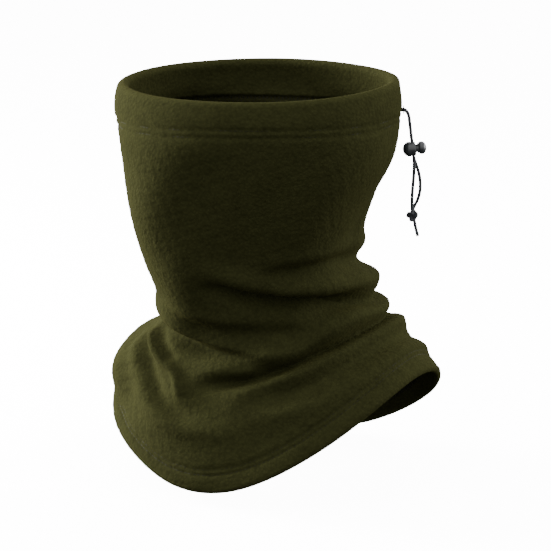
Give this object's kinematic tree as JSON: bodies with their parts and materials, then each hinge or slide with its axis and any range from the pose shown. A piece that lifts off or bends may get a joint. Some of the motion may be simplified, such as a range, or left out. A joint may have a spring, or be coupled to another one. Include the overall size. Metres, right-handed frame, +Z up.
{
  "type": "neck gaiter",
  "caption": "Fleece neck gaiter: a tube with a drawcord casing at the top, a hemmed flared lower edge and a sprung cord lock on the hanging cord.",
  "frame": {"origin": "centre of the wearer's neck at the gaiter's waist, its narrowest level", "axes": "+Z up along the neck, -Y towards the wearer's front, +X towards the wearer's left"},
  "size_m": [0.2043, 0.1963, 0.2487],
  "materials": {
    "fleece": "matt pebbly polar fleece, dark olive",
    "thread": "polyester sewing thread, dark olive",
    "braid": "braided elastic cord, blue-black with pale flecks",
    "lock_plastic": "black moulded acetal, semi-matt",
    "spring_steel": "bright spring wire"
  },
  "bodies": {
    "gaiter": {"fleece_body": "fleece", "top_casing": "fleece", "bottom_hem": "fleece", "back_seam_allowance": "fleece", "back_seam_overlock": "thread", "top_stitch_upper": "thread", "top_stitch_lower": "thread", "top_looper_thread": "thread", "bottom_stitch_upper": "thread", "bottom_stitch_lower": "thread", "bottom_looper_thread": "thread", "cord_exit_buttonhole": "thread", "drawcord_in_casing": "braid"},
    "pull_cord": {"drawcord_strand_a": "braid", "drawcord_strand_b": "braid", "drawcord_knot": "braid", "drawcord_tail_a": "braid", "drawcord_tail_b": "braid"},
    "cord_lock": {"cord_lock_body": "lock_plastic", "cord_lock_spring": "spring_steel"},
    "plunger": {"cord_lock_plunger": "lock_plastic"}
  },
  "joints": [
    {"name": "cord_swing", "type": "hinge", "parent": "gaiter", "child": "pull_cord", "pos_m": [0.08252, 0.00769, 0.11492], "axis": [0.4226, -0.9063, 0], "range_deg": [-2, 45]},
    {"name": "lock_slide", "type": "slide", "parent": "pull_cord", "child": "cord_lock", "axis": [-0.113, -0.0527, 0.9922], "range_m": [0, 0.006]},
    {"name": "plunger_press", "type": "slide", "parent": "cord_lock", "child": "plunger", "axis": [-0.8992, -0.4193, -0.1247], "range_m": [0, 0.0016], "stiffness_N_per_m": 800, "springref_m": -0.001, "deforming": ["cord_lock_spring"]}
  ]
}
